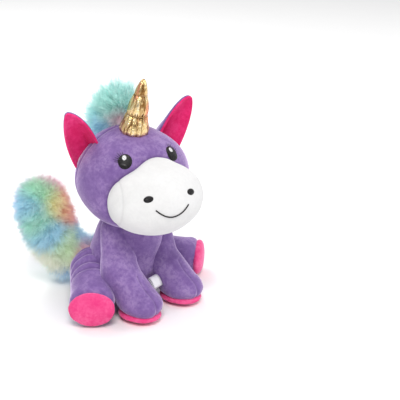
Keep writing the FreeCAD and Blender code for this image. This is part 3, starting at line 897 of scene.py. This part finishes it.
def make_hind_legs():
    for word, side in SIDES:
        hip = pivots[f"hind_leg_{word}_lift"]
        sole = middle(f"hind_leg_sole_{word}")
        way = Vector((sole.x - hip.x, sole.y - hip.y, 0)).normalized()
        across = way.cross(UP)
        turn = turn_onto(across, way, UP)
        sole += across * side * (0.001 if side > 0 else 0.0035)
        foot = sole - way * 0.010
        inward = Quaternion(UP, math.radians(-24 if side > 0 else 0))
        facing = inward @ way
        stations = [
            (hip + Vector((0, 0, 0.0035)), (21.5, 22.5, 25), turn),
            (hip.lerp(foot, 0.45) + Vector((0, 0, 0.001)), (20.5, 19, 22.5), turn),
            (foot, (21.0, 14, 19.0), inward @ turn),
        ]
        balls = tube(stations)
        rim = sole - facing * 0.0065 - across * side * 0.001
        balls.append(ball(rim, (22.0, 8.0, 18.5), inward @ turn))
        leg = joined(f"hind_leg_{word}_skin", balls, voxel=3.0, smooth=6)
        waist = plane_seam(hip, UP, lambda co: (co - np.array(hip)) @ np.array(across) * side > -1)
        stuff(leg, 1.8, held_along(waist, 3.5, 0.5))
        flatten_under(leg, 0.0006)
        for number, deep in enumerate((1.8, 2.2, 1.9, 1.2)):
            at = hip + way * (0.004 + 0.0085 * number) + UP * 0.006
            tilt = (way * 0.9 + UP * (0.42 - 0.10 * number)).normalized()
            above = np.array((UP + across * side * (0.2 - 0.2 * number)).normalized())

            def crease(co, at=at, tilt=tilt, above=above):
                rel = co - np.array(at)
                line = np.abs(rel @ np.array(tilt) + 0.0016 * np.sin(rel @ above * 260))
                below = np.clip(0.5 - (rel @ above) * 70, 0, 1)
                return line + below * 0.012

            groove(leg, crease, deep, 2.0, shade=0.55)
        ripple(leg, 17, 0.8, 8 + side)
        dress(leg, PURPLE, f"hind_leg_{word}",
              (f"hind_leg_upper_panel_{word}", f"hind_leg_lower_panel_{word}",
               f"hind_leg_stuffing_{word}"))
        pad = joined(f"hind_leg_{word}_sole_cloth", [
            ball(sole + facing * 0.0002 - UP * 0.0018, (21.8, 5.8, 16.6), inward @ turn),
            ball(sole + facing * 0.0002 - UP * 0.0045, (21.0, 5.4, 14.8), inward @ turn),
        ], voxel=1.6, smooth=5)
        finish_with(pad, "SUBSURF", levels=1, render_levels=1)
        flatten_under(pad, 0.0008)
        bpy.ops.object.shade_smooth()
        ripple(pad, 14, 0.5, 12 + side)
        dress(pad, PINK_LIT, f"hind_leg_{word}", (f"hind_leg_sole_{word}",))


# ---------------------------------------------------------------- long pile
def spread_colour(points, spots):
    """Soft patches of dye: each spot is (place in metres, reach in millimetres, colour)."""
    total = np.zeros((len(points), 1)) + 1e-9
    colour = np.zeros((len(points), 3))
    for place, reach, tint in spots:
        gap = np.linalg.norm(points - np.array(place), axis=1, keepdims=True)
        weight = bell(gap, reach * MM)
        total += weight
        colour += weight * np.array(tint)
    return colour / total


def roots_on(balls, count):
    """Points spread over the outside of some balls, with the way each strand starts."""
    share = np.array([r**2 for _, r in balls], float)
    share /= share.sum()
    picked = rng.choice(len(balls), count * 2, p=share)
    way = rng.normal(size=(count * 2, 3))
    way /= np.linalg.norm(way, axis=1, keepdims=True)
    centres = np.array([tuple(c) for c, _ in balls])
    radii = np.array([r * MM for _, r in balls])
    points = centres[picked] + way * radii[picked][:, None]
    gaps = np.linalg.norm(points[:, None] - centres[None], axis=2) - radii[None]
    free = gaps.min(axis=1) > -1e-5
    return points[free][:count], way[free][:count]


def lay_tint(mesh, tint):
    """Lays a colour on each point."""
    colours = mesh.color_attributes.new("tint", "FLOAT_COLOR", "POINT")
    colours.data.foreach_set("color", np.c_[tint, np.ones(len(tint))].astype(np.float32).ravel())


def comb_out(roots, ways, share, length, lie, locks):
    """Each hair's path, drawn in towards its lock, and the hair that each one follows."""
    count = len(roots)
    long = length * MM * rng.uniform(0.66, 1.30, count)
    way = ways + rng.normal(size=(count, 3)) * 0.22
    way /= np.linalg.norm(way, axis=1, keepdims=True)
    path = roots[:, None] + long[:, None, None] * (
        way[:, None] * (share * (1 - 0.25 * share))[None, :, None]
        + lie(roots)[:, None] * (share**2 * 0.55)[None, :, None])
    leaders = rng.choice(count, locks, replace=False)
    tree = KDTree(locks)
    for number, leader in enumerate(leaders):
        tree.insert(Vector(roots[leader]), number)
    tree.balance()
    follow = leaders[np.array([tree.find(Vector(p))[1] for p in roots])]
    pull = (share**1.3 * 0.70)[None, :, None]
    stray = rng.normal(size=(count, 1, 3)) * (0.0011 * share[None, :, None])
    path = path * (1 - pull) + path[follow] * pull + stray
    path[:, :, 2] = np.maximum(path[:, :, 2], 0.0010)
    return path, follow


def hair_mesh(name, path, radius):
    """A three-sided tube along each path, closed at both ends."""
    count, steps = path.shape[:2]
    along = np.gradient(path, axis=1)
    along /= np.linalg.norm(along, axis=2, keepdims=True) + 1e-12
    helper = np.where(np.abs(along[:, :, 2:3]) < 0.9, np.array([0.0, 0, 1]), np.array([1.0, 0, 0]))
    side = np.cross(along, helper)
    side /= np.linalg.norm(side, axis=2, keepdims=True)
    other = np.cross(along, side)
    rings = []
    for corner in range(3):
        angle = corner * 2 * math.pi / 3
        rings.append(path + (side * math.cos(angle) + other * math.sin(angle))
                     * radius[None, :, None])
    verts = np.stack(rings, axis=2).reshape(-1, 3)
    first = (np.arange(count) * steps * 3)[:, None, None]
    quads = []
    for step in range(steps - 1):
        for corner in range(3):
            a, b = step * 3 + corner, step * 3 + (corner + 1) % 3
            quads.append([a, b, b + 3, a + 3])
    quads = (first + np.array(quads)[None]).reshape(-1, 4)
    last = (steps - 1) * 3
    ends = (first + np.array([[2, 1, 0], [last, last + 1, last + 2]])[None]).reshape(-1, 3)
    loops = np.concatenate([quads.ravel(), ends.ravel()])
    starts = np.concatenate([np.arange(len(quads)) * 4, len(quads) * 4 + np.arange(len(ends)) * 3])
    mesh = bpy.data.meshes.new(name)
    mesh.vertices.add(len(verts))
    mesh.vertices.foreach_set("co", verts.astype(np.float32).ravel())
    mesh.loops.add(len(loops))
    mesh.loops.foreach_set("vertex_index", loops.astype(np.int32))
    mesh.polygons.add(len(starts))
    mesh.polygons.foreach_set("loop_start", starts.astype(np.int32))
    mesh.update(calc_edges=True)
    mesh.validate()
    return mesh


def strands(name, roots, ways, length, lie, spots, locks, thick):
    """Thin tapered hairs in locks, dyed by place, with painted shade at the root and painted light
    paling the tip.
    """
    share = np.linspace(0, 1, 5)
    path, follow = comb_out(roots, ways, share, length, lie, locks)
    mesh = hair_mesh(name, path, thick * MM * (1 - 0.86 * share**1.2))
    colour = spread_colour(roots + (path[:, -1] - roots) * 0.35, spots)
    one_each = (len(roots), 1)
    shade = rng.uniform(0.90, 1.05, one_each) * rng.uniform(0.90, 1.06, one_each)[follow]
    # Painted shade at the root and painted light at the tip: darker near the root, lighter and paler
    # towards the tip.
    tint = np.clip(colour * shade, 0, 1)[:, None] * (0.82 + 0.24 * share)[None, :, None]
    tint = tint + (1 - tint) * (0.25 * share**2)[None, :, None]
    lay_tint(mesh, np.clip(tint, 0, 1)[:, :, None].repeat(3, axis=2).reshape(-1, 3))
    piece = bpy.data.objects.new(name, mesh)
    bpy.context.scene.collection.objects.link(piece)
    take(piece)
    bpy.ops.object.shade_smooth()
    return piece


def under_pile(name, balls, spots, extra):
    """The dense foot of the pile, seen between the strands and painted darker as shade; extra is its
    depth in millimetres.
    """
    piece = joined(name, [ball(c, (r + extra,) * 3) for c, r in balls], voxel=2.2, smooth=4)
    finish_with(piece, "SUBSURF", levels=1, render_levels=1)
    ripple(piece, 5, 1.3, 20)
    flatten_under(piece, 0.0012)
    # Painted shade: the spot colours darkened where the pile is deep.
    lay_tint(piece.data, spread_colour(points_of(piece), spots) * 0.88)
    take(piece)
    bpy.ops.object.shade_smooth()
    return piece


def grow_pile(name, finish, body, balls, spots, count, groups, length, lie, lock_size):
    """Strands all over some balls, as a few pieces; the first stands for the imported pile."""
    thick = 0.24
    roots, ways = roots_on(balls, count)
    for number in range(groups):
        mine = slice(number, None, groups)
        lock = strands(f"{name}_{number + 1}", roots[mine], ways[mine], length, lie, spots,
                       count // lock_size, thick)
        dress(lock, finish, body, (name,) if number == 0 else ())


AQUA, MINT, SKY = (0.44, 0.88, 0.84), (0.44, 0.88, 0.58), (0.38, 0.74, 0.96)
LEMON, CORAL, ROSE = (0.96, 0.92, 0.42), (1.0, 0.44, 0.30), (1.0, 0.50, 0.64)
LILAC, CREAM, BLUE = (0.78, 0.64, 0.92), (0.92, 0.94, 0.78), (0.32, 0.60, 0.92)


def strung(first, second, first_r, second_r, count):
    """Places and sizes of balls from one to the other."""
    out = []
    for number in range(count):
        share = number / (count - 1)
        out.append((first.lerp(second, share), first_r + (second_r - first_r) * share))
    return out


def make_tail():
    root = pivots["tail_swing"]
    low, end = Vector((-0.018, 0.077, 0.028)), Vector((-0.038, 0.086, 0.085))
    bend = low.lerp(end, 0.5) + Vector((-0.004, 0, -0.001))
    balls = strung(root, low, 7, 14, 4) + strung(low, bend, 14, 17, 4)[1:]
    balls += strung(bend, end, 17, 17, 4)[1:]
    spots = [
        (end + Vector((-0.010, -0.010, 0.024)), 15, MINT),
        (end + Vector((0.014, -0.004, 0.024)), 12, ROSE),
        (end + Vector((-0.022, -0.006, 0.000)), 13, SKY),
        (end + Vector((-0.020, -0.014, -0.014)), 12, MINT),
        (end + Vector((-0.010, -0.020, -0.026)), 12, SKY),
        (end + Vector((0.002, -0.024, 0.004)), 11, LEMON),
        (end + Vector((0.014, -0.018, -0.002)), 11, CORAL),
        (end + Vector((0.030, -0.008, -0.006)), 12, ROSE),
        (low + Vector((0.010, -0.020, 0.022)), 10, SKY),
        (low + Vector((0.006, -0.022, 0.008)), 8, ROSE),
        (low + Vector((-0.014, -0.020, 0.014)), 12, (0.74, 0.94, 0.62)),
        (low + Vector((-0.024, -0.004, -0.004)), 13, CREAM),
        (low + Vector((0.004, -0.018, -0.006)), 9, (0.98, 0.84, 0.48)),
        (low + Vector((-0.004, -0.010, -0.022)), 12, BLUE),
        (low + Vector((0.012, 0.014, 0.000)), 16, AQUA),
        (end + Vector((0.010, 0.022, 0.000)), 18, LILAC),
    ]
    under = under_pile("tail_pile_foot", balls, spots, 2.0)
    finish = furry("dyed_pile")
    dress(under, finish, "tail", ("tail_tube",))
    count = 26000

    def sag(at):
        return np.tile(np.array([-0.03, 0.03, -0.16]), (len(at), 1))

    grow_pile("tail_pile", finish, "tail", balls, spots, count, 4, 15.5, sag, 44)


def make_mane():
    finish = furry("dyed_mane")
    top = in_head(0, 17, 186)
    back = in_head(0, 40, 166)
    nape = in_head(0, 53, 128)
    balls = strung(top, back, 8.5, 9.5, 5) + strung(back, nape, 9.5, 5, 5)[1:]
    spots = [
        (top + Vector((0, -0.004, 0.022)), 20, AQUA),
        (top + Vector((-0.020, 0.002, 0.008)), 15, (0.36, 0.78, 0.70)),
        (top + Vector((0.016, -0.006, 0.004)), 14, (0.50, 0.84, 0.84)),
        (top + Vector((-0.012, -0.010, -0.012)), 9, ROSE),
        (back + Vector((-0.020, -0.008, -0.006)), 11, SKY),
        (back + Vector((0, 0.016, 0.010)), 18, AQUA),
        (nape + Vector((0, 0.010, 0.012)), 16, LILAC),
        (nape + Vector((0, 0.010, -0.014)), 14, BLUE),
        (back + Vector((0.018, 0.004, -0.004)), 14, MINT),
    ]
    under = under_pile("mane_pile_foot", balls, spots, 1.5)
    dress(under, finish, "head", ("mane_tape",))
    count = 15000

    def rise(at):
        height = np.clip((at[:, 2:3] - nape.z) / 0.05, -0.5, 1)
        return np.tile(np.array([-0.03, 0.05, 0.30]), (len(at), 1)) * height

    grow_pile("mane_pile", finish, "head", balls, spots, count, 2, 19.0, rise, 30)


# ---------------------------------------------------------------- neck seam and label
def make_neck():
    low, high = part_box("neck_collar")
    wide = (high[0] - low[0]) / 2
    bpy.ops.object.select_all(action="DESELECT")
    bpy.ops.mesh.primitive_torus_add(major_segments=64, minor_segments=16,
                                     location=(0, 0, low[2] + 0.003),
                                     major_radius=wide - 0.0045, minor_radius=0.0028)
    collar = bpy.context.active_object
    collar.name = "neck_seam_roll"
    settle(collar)
    bpy.ops.object.shade_smooth()
    ripple(collar, 6, 0.5, 30)
    dress(collar, PURPLE, "neck", ("neck_collar",))


def make_label():
    low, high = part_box("care_label")
    wide, long = high[0] - low[0], high[1] - low[1]
    bpy.ops.object.select_all(action="DESELECT")
    bpy.ops.mesh.primitive_grid_add(x_subdivisions=6, y_subdivisions=20, size=2)
    label = bpy.context.active_object
    label.name = "care_label_ribbon"
    co = points_of(label)
    u, v = co[:, 0].copy(), (co[:, 1].copy() + 1) / 2
    bend = np.minimum(v, 1 - v) * 2
    lift = np.where(v < 0.5, -1, 1) * (0.0005 + 0.0009 * np.sin(np.pi * bend) ** 0.7)
    co[:, 0] = (low[0] + high[0]) / 2 + u * wide / 2 * 0.98
    co[:, 1] = high[1] - 0.0004 - bend * (long - 0.0006)
    co[:, 2] = low[2] + lift - 0.0080 * bend**2 + 0.0006 * u
    move_points(label, co)
    finish_with(label, "SOLIDIFY", thickness=0.00022, offset=0.0)
    bpy.ops.object.shade_smooth()
    dress(label, satin("satin_ribbon"), "torso", ("care_label",))


torso = make_torso()
head, muzzle = make_head()
make_face(head, muzzle)
make_horn()
make_ears()
make_front_legs()
make_hind_legs()
make_tail()
make_mane()
make_neck()
make_label()
